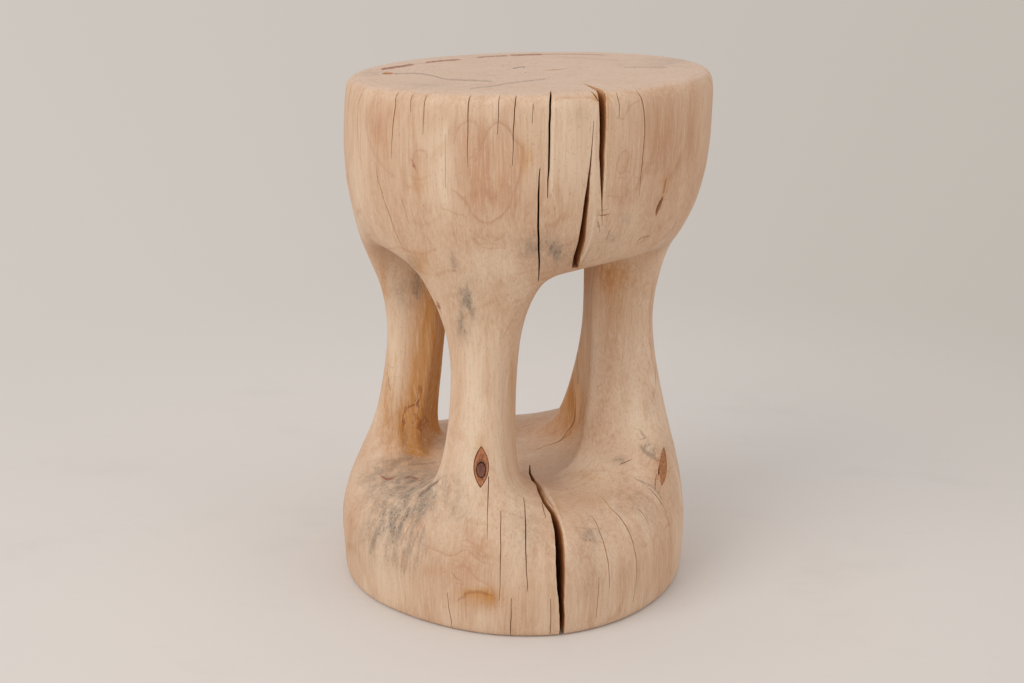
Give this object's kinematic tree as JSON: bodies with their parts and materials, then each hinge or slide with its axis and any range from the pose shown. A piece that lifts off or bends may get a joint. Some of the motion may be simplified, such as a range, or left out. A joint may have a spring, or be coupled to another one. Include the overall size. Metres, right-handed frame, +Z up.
{
  "type": "carved log stool",
  "caption": "Hourglass stool carved from a solid log: thick rounded seat and rounded base joined by slender legs around an open centre, with drying cracks and encased knots.",
  "frame": {"origin": "on the floor, under the middle of the whole stool's box", "axes": "+Z up, the front with the front leg and the long base crack towards -Y, +X to the right of someone who faces the front"},
  "size_m": [0.3243, 0.3141, 0.453],
  "materials": {
    "sanded_wood": "sanded and left unvarnished, matt to dull satin",
    "encased_bark": "reddish bark sanded level with the wood, matt",
    "dead_knot_wood": "dark dead knot, matt"
  },
  "bodies": {
    "root": {"carved_body": "sanded_wood", "front_leg_knot_bark": "encased_bark", "front_leg_knot_core": "dead_knot_wood", "right_foot_knot": "encased_bark", "rim_knot": "dead_knot_wood"}
  },
  "joints": []
}
